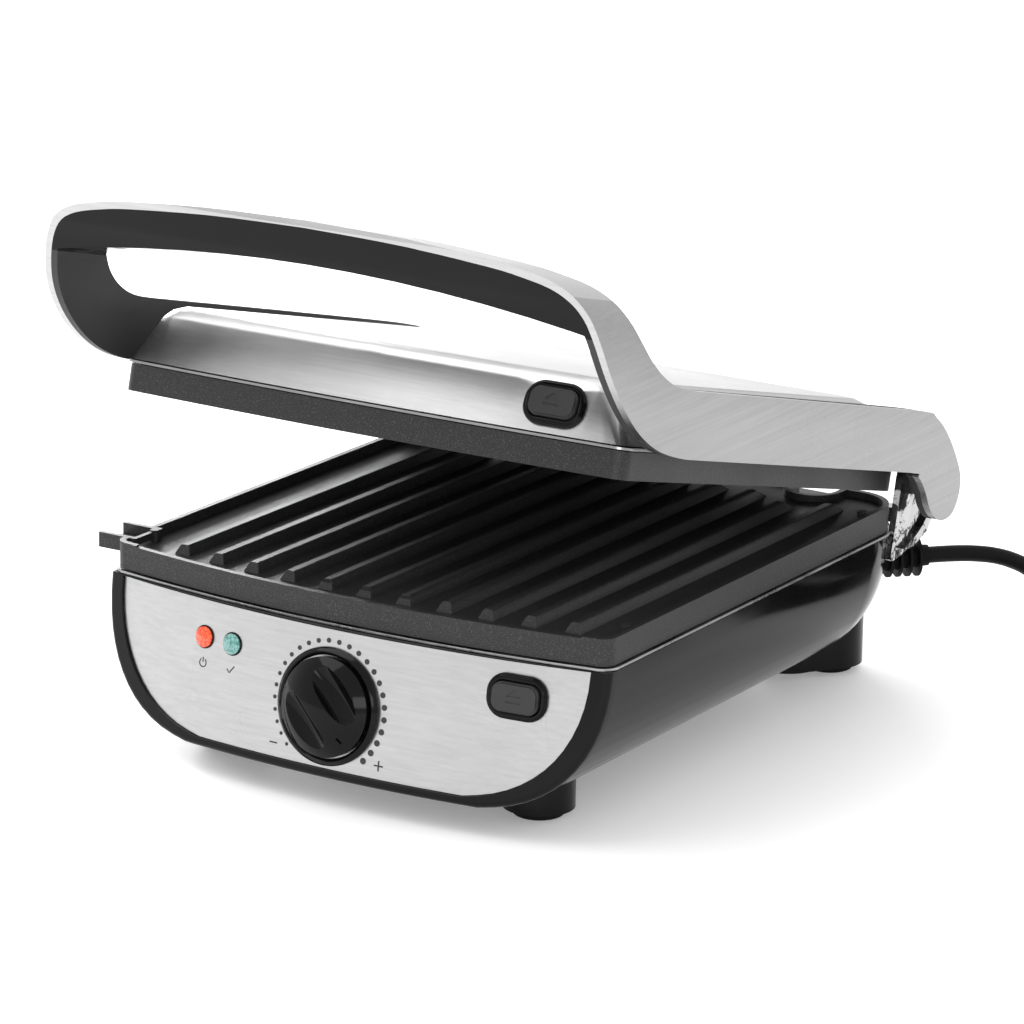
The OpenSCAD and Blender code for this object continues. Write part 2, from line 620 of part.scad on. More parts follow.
module lid_cover() color(steel) difference() {
    lid_pose() difference() {
        cover_shape(0);
        cover_shape(cover_t);
        both_sides() rod_x(half - 20, half + 5, float_y, float_z, pin_d + 1);
    }
    at_upper_button() translate([0, 0, -10]) pill(22.4, 14.4, 6.2, 20);
}
module pan_upper() color(tin) lid_pose() difference() {
    union() {
        translate([0, 0, upper_z]) mirror([0, 0, 1]) difference() {
            pan(19);
            both_sides() rod_z(40, 209, -30, -10, 9);
        }
        translate([0, 0, upper_z]) mirror([0, 0, 1]) {
            pan_pads(-0.6, -0.15);
            for (x = [-83, 83]) box([x - 1, 108, -18.2], [x + 1, 116, -7]);
            // wall behind the release spring
            box([lid_button_x - 7, 18.3, -18.4], [lid_button_x + 6, 19.7, -6]);
        }
        // cheeks that carry the float pins
        both_sides() box([half - pan_in - 1, float_y - 9, 25], [half - pan_in + 2, float_y + 9, 43.5]);
    }
    both_sides() rod_x(half - 30, half, float_y, float_z, pin_d + 0.02);
}
module float_pins() color(tin) lid_pose() both_sides()
    rod_x(half - pan_in - 1, arm_in + lining_t - 0.6, float_y, float_z, pin_d);
module element_upper() color([0.25, 0.25, 0.26]) lid_pose() translate([0, 0, upper_z]) mirror([0, 0, 1])
    short_element(-3.8);
module short_element(z) {
    both_sides() {
        run_y(83, 54, 190, z);
        bend_z(64, 54, 270, 19, z);
        bend_z(64, 190, 0, 19, z);
        rod_x(40, 64, 209, z, el_d);
        translate([40, 209, z]) sphere(d = el_d, $fn = 32);
        translate([40, 209, z - 13]) cylinder(d = el_d, h = 13, $fn = 24);
    }
    rod_x(-64, 64, 35, z, el_d);
}
module release_bezel_upper() color(gloss) at_upper_button() release_bezel();
module release_button_upper() color(dull) at_upper_button() release_button();
module latch_upper() color(tin) at_upper_button() mirror([0, 1, 0]) latch(9.3);
module release_spring_upper() color(tin) at_upper_button() mirror([0, 1, 0]) spring_wire();

// ---- cord -------------------------------------------------------------------------------
// Drawn where it lies, with z = 0 on the table and y measured from the grill's middle.
cord_r = cord_d/2;
coil_r = 38;                        // middle of the coil's turns
coil_at = [202, 200];
coil_from = 120;                    // angle at which the cord joins the coil
coil_turns = 3 + 1/3;
coil_step = 7.45;                   // height from one turn to the next
exit_a = 45;                        // the cord leaves the rear corner at this angle
route = [[119, 153.5, 54.5], [130, 164.5, 54.5], [141, 177.5, 52], [150, 190.5, 45],
    [157.5, 203.5, 32.5], [164.5, 215.5, 18.5], [172.5, 226, 8], [183, 232.9, cord_r]];
tail = [[240, 200, 26], [240, 185, 25.6], [240, 170, 24], [240, 155, 20.5], [240, 143, 18.3],
    [240, 134, 18]];

function across(t) = let (s = cross(t, [0, 0, 1])) s/norm(s);
function sweep_ring(p, t, r, n) = let (s = across(t), u = cross(s, t)/norm(t))
    [for (k = [0:n - 1]) p + r*cos(360*k/n)*s + r*sin(360*k/n)*u];
module tube(points, d, n = 10) {
    p = concat(bend(points, 2), [points[len(points) - 1]]);
    m = len(p);
    rings = [for (i = [0:m - 1]) each sweep_ring(p[i], p[min(i + 1, m - 1)] - p[max(i - 1, 0)], d/2, n)];
    sides = [for (i = [0:m - 2], k = [0:n - 1])
        [i*n + k, i*n + (k + 1)%n, (i + 1)*n + (k + 1)%n, (i + 1)*n + k]];
    first_end = [for (k = [n - 1:-1:0]) k];
    last_end = [for (k = [0:n - 1]) (m - 1)*n + k];
    polyhedron(rings, concat([first_end], sides, [last_end]), 4);
}
// axis of the strain relief, out of the housing's rear corner
module at_cord() translate(route[0]) rotate([0, 0, exit_a]) rotate([0, 90, 0]) children();
module relief_core(g) at_cord() translate([0, 0, -34]) rotate_extrude($fn = 48)
    polygon([[0, -g], [7.5 + g, -g], [7.5 + g, 5 + g], [5.9 + g, 5 + g], [5.9 + g, 8 - g],
        [7.5 + g, 8 - g], [7.5 + g, 10.5 + g], [6.2 + g, 12 + g], [4.6 + g, 34], [0, 34]]);
module cord_relief() color(dull) {
    relief_core(0);
    at_cord() for (i = [0:3]) translate([0, 0, -19 + 4.4*i]) difference() {
        cylinder(r = 9, h = 1.2, $fn = 48);
        translate([0, 0, -1]) cylinder(r = 4.3, h = 4, $fn = 48);
    }
}
module cord() color(dull) tube(route, cord_d);
module cord_coil() color(dull) translate([coil_at[0], coil_at[1], 0]) rotate_extrude($fn = 96)
    translate([coil_r, 0]) polygon(concat(
        [for (a = [180:30:360]) [cord_r*cos(a), cord_r + cord_r*sin(a)]],
        [for (a = [0:30:180]) [cord_r*cos(a), 26 + cord_r*sin(a)]]));
module cord_tail() color(dull) tube(tail, cord_d);
// earthed two-pin plug lying on its side
module plug() color(dull) translate([240, 134, 18]) rotate([90, 0, 0]) {
    rotate_extrude($fn = 64) polygon([[0, -6], [5, -6], [6.5, 4], [9, 12], [15.5, 19], [17.6, 26],
        [18, 30], [18, 44], [16, 47], [0, 47]]);
    for (s = [-9.5, 9.5]) translate([s, 0, 46]) cylinder(d = 4.8, h = 19, $fn = 32);
}

base_tub();
front_bezel();
front_fascia();
dial_marks();
dial_ring();
knob();
knob_shaft();
thermostat();
lamp_power();
lamp_ready();
lamp_holders();
release_bezel_lower();
release_button_lower();
latch_lower();
release_spring_lower();
pan_lower();
element_lower();
terminal_block();
thermal_fuse();
base_leads();
grill_plate_lower();
foot_pads();
base_screws();
hinge_bracket_left();
hinge_bracket_right();
hinge_pins();
hinge_bushes();
handle_strap();
arm_lining_left();
arm_lining_right();
grip();
grip_screws();
lid_cover();
pan_upper();
float_pins();
element_upper();
release_bezel_upper();
release_button_upper();
latch_upper();
release_spring_upper();
grill_plate_upper();
cord_relief();
cord();
cord_coil();
cord_tail();
plug();
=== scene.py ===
import json
import math

import bmesh
import bpy
from mathutils import Matrix, Vector

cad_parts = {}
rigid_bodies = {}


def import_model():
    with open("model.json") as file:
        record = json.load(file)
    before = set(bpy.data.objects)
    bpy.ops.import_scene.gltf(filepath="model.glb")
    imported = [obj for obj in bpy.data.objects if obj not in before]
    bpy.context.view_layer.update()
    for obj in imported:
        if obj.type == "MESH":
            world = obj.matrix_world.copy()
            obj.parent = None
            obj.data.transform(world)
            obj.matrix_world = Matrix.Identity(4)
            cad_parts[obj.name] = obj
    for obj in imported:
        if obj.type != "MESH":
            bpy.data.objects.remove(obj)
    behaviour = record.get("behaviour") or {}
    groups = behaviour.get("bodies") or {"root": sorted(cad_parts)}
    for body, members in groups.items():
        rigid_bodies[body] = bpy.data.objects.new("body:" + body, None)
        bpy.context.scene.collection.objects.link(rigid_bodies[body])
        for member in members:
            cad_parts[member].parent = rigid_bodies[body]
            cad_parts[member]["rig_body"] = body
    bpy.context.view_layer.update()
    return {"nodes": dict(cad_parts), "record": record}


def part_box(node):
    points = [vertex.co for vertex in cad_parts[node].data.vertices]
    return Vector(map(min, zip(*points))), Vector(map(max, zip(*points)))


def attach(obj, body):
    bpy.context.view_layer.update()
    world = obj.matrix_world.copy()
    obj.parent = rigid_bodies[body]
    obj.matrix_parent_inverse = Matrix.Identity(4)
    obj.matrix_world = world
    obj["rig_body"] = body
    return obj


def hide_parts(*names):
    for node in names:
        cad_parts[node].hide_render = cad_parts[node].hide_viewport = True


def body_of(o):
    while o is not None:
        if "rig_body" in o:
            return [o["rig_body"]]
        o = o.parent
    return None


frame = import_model()
nodes = frame["nodes"]
MM = 0.001                                      # shapes below are in mm

# ---- places worked out from the frame -------------------------------------------------
plate_lo, plate_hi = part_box("grill_plate_lower")
PLATE_D = 249
PLATE_Z = plate_lo.z / MM                       # underside of the lower plate
PLATE_Y = plate_hi.y / MM - PLATE_D             # the plates' front corners


def spot(x, y, z):
    """A point measured from the front of the lower plate, in mm, as a place in metres."""
    return Vector((x, y + PLATE_Y, z + PLATE_Z)) * MM


# ---- camera ---------------------------------------------------------------------------
CAM_AZIMUTH = 31.81                             # degrees to the right of straight ahead
CAM_ELEVATION = 16.12
CAM_ROLL = 1.0
CAM_DISTANCE = 1.9729
CAM_AIM = Vector((0.0475, -0.0771, 0.1165))
CAM_SENSOR = 36
CAM_LENS = 171.8
CAM_FAR = 20


def make_camera():
    a, e, r = (math.radians(v) for v in (CAM_AZIMUTH, CAM_ELEVATION, CAM_ROLL))
    back = Vector((math.sin(a) * math.cos(e), -math.cos(a) * math.cos(e), math.sin(e)))
    level = Vector((math.cos(a), math.sin(a), 0))
    up = back.cross(level)
    right = math.cos(r) * level + math.sin(r) * up
    up = -math.sin(r) * level + math.cos(r) * up
    data = bpy.data.cameras.new("camera")
    data.sensor_width = CAM_SENSOR
    data.lens = CAM_LENS
    data.clip_end = CAM_FAR
    cam = bpy.data.objects.new("camera", data)
    bpy.context.scene.collection.objects.link(cam)
    cam.matrix_world = Matrix.Translation(CAM_AIM + CAM_DISTANCE * back) @ Matrix(
        (right, up, back)).transposed().to_4x4()
    bpy.context.scene.camera = cam


make_camera()

# ---- cord -----------------------------------------------------------------------------
CORD_D = 7.3
CORD_CLEAR = 0.2                                # from the floor to the lowest turns
COIL_R = 37.95
COIL_AT = (202, 200)
COIL_FROM = 120                                 # degrees where the coil begins
COIL_TURNS = 3 + 1 / 3
COIL_STEP = 7.45                                # height from one turn to the next
ROUTE = [(119, 153.5, 54.5), (130, 164.5, 54.5), (141, 177.5, 52), (150, 190.5, 45),
         (157.5, 203.5, 32.5), (164.5, 215.5, 18.5), (172.5, 226, 8), (183, 232.9, CORD_D / 2)]
TAIL = [(240, 200, 26), (240, 185, 25.6), (240, 170, 24), (240, 155, 20.5), (240, 143, 18.3),
        (240, 134, 18)]


def bend(points, steps):
    """Catmull-Rom curve through the points, as in the CAD's tube."""
    p = [Vector(q) for q in points]
    last = len(p) - 1
    out = []
    for i in range(last):
        a, b, c, d = p[max(i - 1, 0)], p[i], p[i + 1], p[min(i + 2, last)]
        for k in range(steps):
            t = k / steps
            out.append(0.5 * (2 * b + (c - a) * t + (2 * a - 5 * b + 4 * c - d) * t * t
                              + (3 * b - a - 3 * c + d) * t ** 3))
    return out + [p[last]]


def coil_points(per_turn=24, climb=6):
    """Turns lying flat on each other: each climbs to the next over its last sixth."""
    count = round(per_turn * COIL_TURNS)
    out = []
    for i in range(1, count):
        turn = i / per_turn
        done = math.floor(turn + 1e-6)
        s = min(max((turn - done) * climb - (climb - 1), 0), 1)
        a = math.radians(COIL_FROM - 360 * turn)
        height = done + s * s * (3 - 2 * s)
        out.append(Vector((COIL_AT[0] + COIL_R * math.cos(a), COIL_AT[1] + COIL_R * math.sin(a),
                           CORD_D / 2 + COIL_STEP * height)))
    return out


def tube_curve(name, points, diameter, body):
    """A round tube along the points. Its thickness is in the points' radius, so its bounds are true."""
    data = bpy.data.curves.new(name, "CURVE")
    data.dimensions = "3D"
    data.bevel_depth = 1.0
    data.bevel_resolution = 6
    data.resolution_u = 4
    data.use_fill_caps = True
    spline = data.splines.new("BEZIER")
    spline.bezier_points.add(len(points) - 1)
    for b, p in zip(spline.bezier_points, points):
        b.co = Vector(p) * MM
        b.handle_left_type = b.handle_right_type = "AUTO"
        b.radius = diameter / 2 * MM
    o = bpy.data.objects.new(name, data)
    bpy.context.scene.collection.objects.link(o)
    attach(o, body)
    return o


laid = bend(ROUTE, 2) + coil_points() + bend(TAIL, 2)
laid = [Vector((p.x, p.y, max(p.z, CORD_D / 2 + CORD_CLEAR))) for p in laid]
mains = tube_curve("mains_cord", laid, CORD_D, "base")
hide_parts("cord", "cord_coil", "cord_tail")


# ---- material kit ---------------------------------------------------------------------
class Look:
    """A node material whose shader, texture coordinates and links are short to write."""

    def __init__(self, name, **fixed):
        self.mat = bpy.data.materials.new(name)
        self.mat.use_nodes = True
        self.tree = self.mat.node_tree
        self.shader = self.tree.nodes["Principled BSDF"]
        for key, value in fixed.items():
            self.shader.inputs[key.replace("_", " ")].default_value = value
        self.coords = self.tree.nodes.new("ShaderNodeTexCoord").outputs["Object"]

    def node(self, kind, links=None, **settings):
        n = self.tree.nodes.new("ShaderNode" + kind)
        for key, value in settings.items():
            setattr(n, key, value)
        for key, value in (links or {}).items():
            socket = n.inputs[key]
            if isinstance(value, bpy.types.NodeSocket):
                self.tree.links.new(value, socket)
            else:
                socket.default_value = value
        return n

    def calc(self, operation, a, b):
        return self.node("Math", {0: a, 1: b}, operation=operation).outputs[0]

    def stretched(self, scale):
        return self.node("Mapping", {"Vector": self.coords, "Scale": scale}).outputs[0]

    def noise(self, vector, scale, detail=3, rough=0.5):
        return self.node("TexNoise", {"Vector": vector, "Scale": scale, "Detail": detail,
                                      "Roughness": rough}).outputs["Fac"]

    def ramp(self, fac, stops):
        n = self.node("ValToRGB", {"Fac": fac})
        ends = n.color_ramp.elements
        while len(ends) < len(stops):
            ends.new(0.5)
        for e, (at, value) in zip(ends, stops):
            e.position = at
            e.color = (*value, 1)
        return n.outputs["Color"]

    def span(self, fac, low, high, of=(0.3, 0.7)):
        return self.node("MapRange", {"Value": fac, "From Min": of[0], "From Max": of[1],
                                      "To Min": low, "To Max": high}).outputs[0]

    def set(self, **links):
        for key, value in links.items():
            self.tree.links.new(value, self.shader.inputs[key.replace("_", " ")])

    def bump(self, height, strength, distance):
        return self.node("Bump", {"Height": height, "Strength": strength,
                                  "Distance": distance}).outputs[0]


def grey(v):
    return (v, v, v)


def brushed(name, tone, rough):
    """Brushed steel: its grain runs across, but front to back on faces that look sideways, and those
    faces get painted shade that mixes them part of the way to black.
    """
    grain_long, grain_fine = 7, 700
    sideways = 0.6
    # painted shade: how far faces that look sideways are mixed towards black
    painted_side_shade = 0.3
    look = Look(name, Metallic=1.0)
    across = look.noise(look.stretched((grain_long, grain_fine, grain_fine)), 1.0, 5, 0.7)
    along = look.noise(look.stretched((grain_fine, grain_long, grain_fine)), 1.0, 5, 0.7)
    normal = look.node("NewGeometry").outputs["Normal"]
    facing = look.node("SeparateXYZ", {"Vector": normal}).outputs["X"]
    side = look.calc("GREATER_THAN", look.calc("ABSOLUTE", facing, 0.0), sideways)
    grain = look.node("Mix", {"Factor": side, "A": across, "B": along}, data_type="FLOAT").outputs[0]
    cloud = look.noise(look.coords, 11.0, 5, 0.6)
    shade = look.calc("ADD", look.span(grain, 0.0, 0.5), look.span(cloud, 0.0, 0.5))
    tint = look.ramp(shade, [(0.0, grey(tone * 0.82)), (1.0, grey(tone * 1.12))])
    # sockets 6 and 7 of a colour Mix are its two colours, and output 2 its result
    # painted shade: faces that look sideways are darkened here
    tint_with_painted_shade = look.node("Mix", {"Factor": look.span(side, 0.0, painted_side_shade, of=(0, 1)), 6: tint,
                              7: (0, 0, 0, 1)}, data_type="RGBA").outputs[2]
    look.set(Base_Color=tint_with_painted_shade, Roughness=look.span(cloud, rough - 0.05, rough + 0.08),
             Normal=look.bump(grain, 0.12, 0.0002))
    return look.mat


def moulded(name, tone, rough, grain, bump=0.05, spread=0.04, **fixed):
    """Plastic or coated metal with a fine grain and slightly uneven polish."""
    look = Look(name, **fixed)
    fine = look.noise(look.coords, grain, 3, 0.6)
    cloud = look.noise(look.coords, 24.0, 4)
    look.set(Base_Color=look.ramp(cloud, [(0.3, grey(tone * 0.85)), (0.7, grey(tone * 1.15))]),
             Roughness=look.span(cloud, rough - spread, rough + spread),
             Normal=look.bump(fine, bump, 0.0002))
    return look.mat


def coated(name):
    """Cast plate with a non-stick coat: satin, with fine pale specks."""
    look = Look(name, Specular_IOR_Level=0.26)
    peel = look.noise(look.coords, 700, 3)
    speck = look.noise(look.coords, 2100, 2, 0.4)
    cloud = look.noise(look.coords, 18, 4)
    dots = look.ramp(speck, [(0.0, grey(0.022)), (0.57, grey(0.026)), (0.68, grey(0.065))])
    look.set(Base_Color=dots, Roughness=look.span(cloud, 0.36, 0.46),
             Normal=look.bump(peel, 0.25, 0.00025))
    return look.mat


def plated(name, tone, rough, wrinkle, depth):
    """Bright metal with a slightly crinkled surface."""
    look = Look(name, Metallic=1.0)
    folds = look.noise(look.coords, wrinkle, 3, 0.45)
    cloud = look.noise(look.coords, 60, 3)
    look.set(Base_Color=look.ramp(cloud, [(0.3, grey(tone * 0.9)), (0.7, grey(tone * 1.08))]),
             Roughness=look.span(cloud, rough * 0.7, rough * 1.3), Normal=look.bump(folds, 0.6, depth))
    return look.mat


def lens(name, deep, bright, glow):
    """Ribbed coloured lens, lit unevenly from inside."""
    look = Look(name, Roughness=0.12, Coat_Weight=0.6, Coat_Roughness=0.05)
    spots = look.node("TexVoronoi", {"Vector": look.coords, "Scale": 800.0}).outputs["Distance"]
    wave = look.node("TexWave", {"Vector": look.coords, "Scale": 450.0, "Distortion": 3.0})
    hatch = wave.outputs["Fac"]
    lit = look.calc("ADD", look.span(spots, 0.75, 0.0, of=(0.1, 0.8)), look.span(hatch, 0.0, 0.25))
    tint = look.ramp(lit, [(0.15, deep), (0.75, bright)])
    look.set(Base_Color=tint, Emission_Color=tint, Normal=look.bump(hatch, 0.15, 0.0002))
    look.shader.inputs["Emission Strength"].default_value = glow
    return look.mat


LOOKS = {
    "gloss_black": moulded("gloss_black", 0.004, 0.14, 260, 0.02, Specular_IOR_Level=0.17),
    "gloss_deep": moulded("gloss_deep", 0.003, 0.09, 200, 0.012, 0.02, Specular_IOR_Level=0.16),
    "satin_black": moulded("satin_black", 0.01, 0.4, 2500, 0.2, Specular_IOR_Level=0.16),
    "matte_black": moulded("matte_black", 0.028, 0.5, 2600, 0.35, Specular_IOR_Level=0.4),
    "print_black": moulded("print_black", 0.02, 0.4, 2000, 0.05),
    "brushed_steel": brushed("brushed_steel", 0.5, 0.3),
    "chrome": plated("chrome", 0.45, 0.14, 110, 0.002),
    "zinc_steel": plated("zinc_steel", 0.34, 0.32, 500, 0.0002),
    "nonstick": coated("nonstick"),
    "heater_tube": moulded("heater_tube", 0.12, 0.5, 900, 0.2, Metallic=0.6),
    "ivory_plastic": moulded("ivory_plastic", 0.6, 0.5, 900, 0.1),
    "lens_red": lens("lens_red", (0.55, 0.02, 0.005), (0.9, 0.13, 0.03), 0.25),
    "lens_teal": lens("lens_teal", (0.05, 0.2, 0.18), (0.22, 0.44, 0.41), 0.04),
    "rubber_black": moulded("rubber_black", 0.004, 0.6, 2400, 0.3, Specular_IOR_Level=0.12),
    "cord_black": moulded("cord_black", 0.003, 0.45, 2400, 0.2, Specular_IOR_Level=0.12),
}


def paint(obj, mat):
    obj.data.materials.clear()
    obj.data.materials.append(mat)


slots = {s["node"]: s["material_slot"] for s in frame["record"]["subparts"]}
for name, obj in nodes.items():
    paint(obj, LOOKS[slots[name]])
paint(mains, LOOKS["cord_black"])


# ---- edges of the moulded and pressed parts -------------------------------------------
SHARP = math.radians(30)                        # edges bent by more than this get rounded


def drop_normals(data):
    """Removes the normals that came with a mesh, so that it can be shaded from its own faces."""
    if "custom_normal" in data.attributes:
        data.attributes.remove(data.attributes["custom_normal"])


def bevelled(obj, width, segments):
    bevel = obj.modifiers.new("edges", "BEVEL")
    bevel.width = width * MM
    bevel.segments = segments
    bevel.limit_method = "ANGLE"
    bevel.angle_limit = SHARP
    return bevel


def soften(width, *names):
    """Rounds the sharp edges of CAD nodes with modifiers and shades them smoothly."""
    for name in names:
        obj = nodes[name]
        drop_normals(obj.data)
        for poly in obj.data.polygons:
            poly.use_smooth = True
        obj.modifiers.new("weld", "WELD").merge_threshold = 0.01 * MM
        bevelled(obj, width, 3).miter_outer = "MITER_ARC"
        obj.modifiers.new("normals", "WEIGHTED_NORMAL").keep_sharp = True


soften(1.1, "grill_plate_lower", "grill_plate_upper")
soften(1.0, "grip", "plug")
soften(0.9, "base_tub", "knob")
soften(0.6, "lid_cover", "arm_lining_left", "arm_lining_right", "release_button_lower",
       "release_button_upper", "release_bezel_lower", "release_bezel_upper", "dial_ring", "foot_pads")
soften(0.25, "front_fascia", "hinge_bracket_left", "hinge_bracket_right", "pan_lower", "pan_upper",
       "cord_relief")


# ---- places on the bowed steel front ---------------------------------------------------
BOW = 13.3
HALF_W = 121
FRONT_R = (HALF_W ** 2 + BOW ** 2) / (2 * BOW)
FRONT_Y = -12.6
LEAN = math.radians(8.35)
KNOB_Z = -33.5


def on_front(x, z):
    """Frame on the steel front at x, z from the lower plate: x across, y up the face, z outward."""
    psi = math.asin(x / FRONT_R)
    centre = Matrix.Translation(spot(0, FRONT_Y + FRONT_R / math.cos(LEAN), 0) / MM)
    lean = Matrix.Rotation(-LEAN, 4, "X")
    turn = Matrix.Rotation(psi, 4, "Z")
    up = (z - FRONT_R * math.cos(psi) * math.sin(LEAN)) / math.cos(LEAN)
    out = Matrix.Translation((0, -FRONT_R, up)) @ Matrix.Rotation(math.radians(90), 4, "X")
    return Matrix.Scale(MM, 4) @ centre @ lean @ turn @ out


# ---- small meshes -----------------------------------------------------------------------
def piece(name, verts, faces, mat, body, smooth=True):
    data = bpy.data.meshes.new(name)
    data.from_pydata([tuple(v) for v in verts], [], faces)
    if smooth:
        data.shade_smooth()
    o = bpy.data.objects.new(name, data)
    bpy.context.scene.collection.objects.link(o)
    paint(o, LOOKS[mat])
    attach(o, body)
    return o


def round_steps(n):
    """Cosine and sine of n even steps round a circle."""
    return [(math.cos(a), math.sin(a)) for a in (2 * math.pi * i / n for i in range(n))]


class Sheet:
    """Collects flat printed shapes, each with a little thickness, on local frames."""

    def __init__(self):
        self.verts, self.faces = [], []

    def shape(self, frame_at, outline, low=0.0, high=0.1):
        n = len(outline)
        a = len(self.verts)
        b = a + n
        self.verts += [frame_at @ Vector((x, y, z)) for z in (low, high) for x, y in outline]
        self.faces.append([b + i for i in range(n)])
        self.faces += [[a + i, a + (i + 1) % n, b + (i + 1) % n, b + i] for i in range(n)]

    def disc(self, frame_at, r, n=28, **depth):
        self.shape(frame_at, [(r * c, r * s) for c, s in round_steps(n)], **depth)

    def stroke(self, frame_at, points, width, **depth):
        """A bent line of one width, as one outline."""
        left, right = [], []
        for i, p in enumerate(points):
            before, after = points[max(i - 1, 0)], points[min(i + 1, len(points) - 1)]
            t = (Vector(after) - Vector(before)).normalized()
            side = Vector((-t.y, t.x)) * width / 2
            left.append(tuple(Vector(p) + side))
            right.append(tuple(Vector(p) - side))
        self.shape(frame_at, right + left[::-1], **depth)


def turned(profile, frame_at, n):
    """Verts and faces of a closed profile of (radius, height) points turned round a frame's z."""
    m = len(profile)
    verts = [frame_at @ Vector((r * c, r * s, z)) for c, s in round_steps(n) for r, z in profile]
    faces = [[k * m + i, (k + 1) % n * m + i, (k + 1) % n * m + (i + 1) % m, k * m + (i + 1) % m]
             for k in range(n) for i in range(m)]
    return verts, faces


def reshaped(node, name, width, pick, segments):
    """A piece copied from a CAD node, with the sharp edges that pick chooses rounded off."""
    source = nodes[node]
    data = source.data.copy()
    mesh = bmesh.new()
    mesh.from_mesh(data)
    bmesh.ops.remove_doubles(mesh, verts=mesh.verts, dist=0.02 * MM)
    bmesh.ops.dissolve_limit(mesh, angle_limit=math.radians(1), verts=mesh.verts, edges=mesh.edges)
    mesh.normal_update()
    chosen = []
    for e in mesh.edges:
        if len(e.link_faces) == 2 and e.calc_face_angle(0) > SHARP:
            n1, n2 = (f.normal for f in e.link_faces)
            if pick((e.verts[0].co + e.verts[1].co) / 2, n1, n2):
                chosen.append(e)
    bmesh.ops.bevel(mesh, geom=chosen, offset=width * MM, offset_type="OFFSET", segments=segments,
                    profile=0.5, affect="EDGES", clamp_overlap=True)
    mesh.to_mesh(data)
    mesh.free()
    drop_normals(data)
    data.shade_smooth()
    o = bpy.data.objects.new(name, data)
    bpy.context.scene.collection.objects.link(o)
    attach(o, body_of(source)[0])
    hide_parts(node)
    paint(o, LOOKS[slots[node]])
    return o


def finish_edges(o, width):
    """A small rounding and even shading."""
    bevelled(o, width, 2)
    o.modifiers.new("normals", "WEIGHTED_NORMAL").keep_sharp = True


# ---- front panel --------------------------------------------------------------------------
POWER_X, READY_X = -65.3, -50.4
LAMP_Z = -17.6
LAMP_R = 4.3
SYMBOL_Z = -28.3                                # symbols under the lamps
DOTS = 26
DOTS_FROM, DOTS_SPAN = 225.5, 271               # degrees of the first dot, and down to the last
DOTS_RING_R = 26.55
DOT_R, DOT_GROWTH = 0.75, 0.62                  # first dot, and how much larger the last one is
MINUS_AT, PLUS_AT = (-25.3, -53.0), (25.9, -53.2)
LINE_W = 0.45                                   # of the power sign
SIGN_W = 0.6                                    # of minus and plus


def make_print():
    """The heat scale with minus and plus at its ends, and a power sign and a tick under the lamps."""
    marks = Sheet()
    for i in range(DOTS):
        done = i / (DOTS - 1)
        a = math.radians(DOTS_FROM - DOTS_SPAN * done)
        at = on_front(DOTS_RING_R * math.cos(a), KNOB_Z + DOTS_RING_R * math.sin(a))
        marks.disc(at, DOT_R + DOT_GROWTH * done, low=0.01)
    ring_r, gap, steps = 1.75, 35, 24
    turn = [math.radians(gap + (360 - 2 * gap) * i / steps) for i in range(steps + 1)]
    power = on_front(POWER_X, SYMBOL_Z)
    marks.stroke(power, [(ring_r * math.sin(a), ring_r * math.cos(a)) for a in turn], LINE_W)
    marks.stroke(power, [(0, 0.3), (0, 2.4)], LINE_W)
    marks.stroke(on_front(READY_X, SYMBOL_Z), [(-1.9, 0.2), (-0.6, -1.3), (1.9, 1.7)], 0.5)
    marks.stroke(on_front(*MINUS_AT), [(-1.9, 0), (1.9, 0)], SIGN_W)
    plus = on_front(*PLUS_AT)
    marks.stroke(plus, [(-2.1, 0), (2.1, 0)], SIGN_W)
    marks.stroke(plus, [(0, -2.1), (0, 2.1)], SIGN_W, high=0.11)
    printed = piece("dial_print", marks.verts, marks.faces, "print_black", "base", smooth=False)
    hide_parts("dial_marks")


def make_lamp_rims():
    section = [(0.02, 0.02), (0.62, 0.02), (0.55, 0.4), (0.3, 0.55), (0.02, 0.45)]
    verts, faces = [], []
    for x in (POWER_X, READY_X):
        v, f = turned([(LAMP_R + r, z) for r, z in section], on_front(x, LAMP_Z), 64)
        faces += [[i + len(verts) for i in q] for q in f]
        verts += v
    piece("lamp_rims", verts, faces, "gloss_black", "base")


make_print()
make_lamp_rims()


# ---- bezel and steel handle, with their rounded edges ---------------------------------------
RIM_FLAT = 61.5                                 # half of the outline's straight bottom
RIM_CORNER_W, RIM_CORNER_H = 60, 62.8           # the rounded corner's size
RIM_POWER = 2.4                                 # the corner's superellipse


def on_rim(p, n1, n2):
    """The bezel's outer front edge: near the base's outline, below its top, and beside a front face."""
    across = (abs(p.x) / MM - RIM_FLAT) / RIM_CORNER_W
    down = (PLATE_Z - p.z / MM) / RIM_CORNER_H
    outline = down if across < 0 else across ** RIM_POWER + down ** RIM_POWER
    return outline > 0.95 and min(n1.y, n2.y) < -0.8 and p.z / MM < PLATE_Z - 2.5


def on_arm_front(p, n1, n2):
    """The outer front edges of the steel arms: between an outer side and a face that looks ahead."""
    arm_outside = 131
    flat, other = (n1, n2) if abs(n1.x) > abs(n2.x) else (n2, n1)
    return abs(flat.x) > 0.7 and abs(p.x) / MM > arm_outside and other.y < -0.25


bezel = reshaped("front_bezel", "bezel", 3.4, on_rim, 6)
finish_edges(bezel, 0.25)
finish_edges(reshaped("handle_strap", "handle_steel", 2.2, on_arm_front, 4), 0.5)


# ---- cord tie --------------------------------------------------------------------------------
TIE_AT = math.radians(-100)                     # where round the coil
TIE_HALF_W = 2.6
TIE_T = 0.7
TIE_TOP = 29.2


